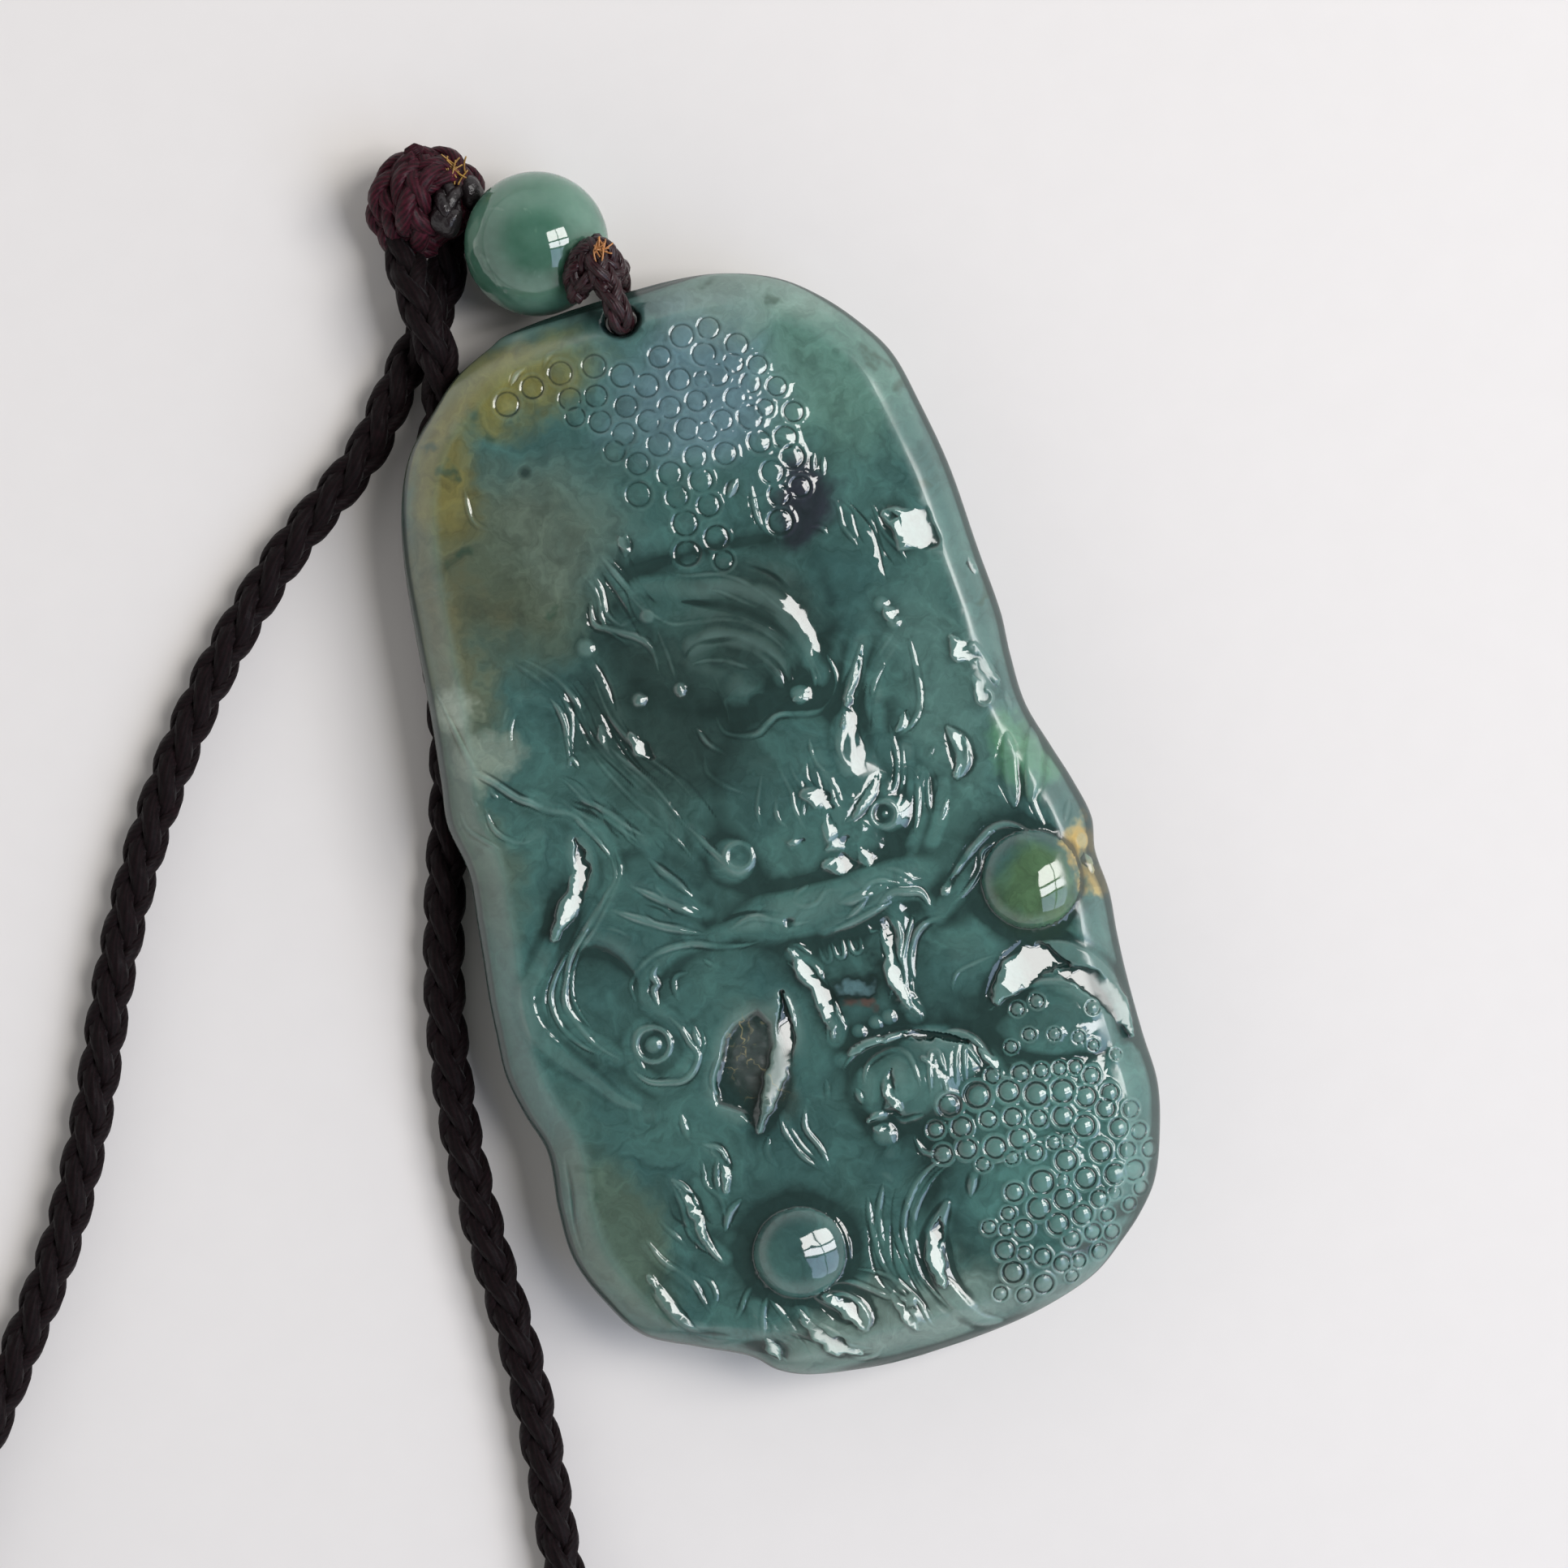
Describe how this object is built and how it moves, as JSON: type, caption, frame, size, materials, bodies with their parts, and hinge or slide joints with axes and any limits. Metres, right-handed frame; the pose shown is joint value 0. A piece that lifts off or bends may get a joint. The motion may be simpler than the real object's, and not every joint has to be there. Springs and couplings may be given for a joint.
{
  "type": "carved jade pendant on a neck cord",
  "caption": "Flat-backed carved jade plaque with a rounded rim, hung by a knotted cord and a small round bead from a plain neck cord, lying face up.",
  "frame": {"origin": "middle of the plaque's flat back, on the surface that it lies on", "axes": "+Y to the top of the plaque, where the hole and the bead are; +Z out of the carved face; +X to the right as the face is seen"},
  "size_m": [0.1046, 0.1234, 0.0094],
  "materials": {
    "plaque_jade": "polished, translucent",
    "bead_jade": "polished, translucent",
    "thin_cord": "waxed cord",
    "knot_cord": "waxed cord",
    "neck_cord": "braided cord"
  },
  "bodies": {
    "root": {"plaque": "plaque_jade", "hanging_loop": "thin_cord", "small_knot": "thin_cord", "bead": "bead_jade", "bead_cord": "thin_cord", "button_knot": "knot_cord", "neck_cord": "neck_cord"}
  },
  "joints": []
}
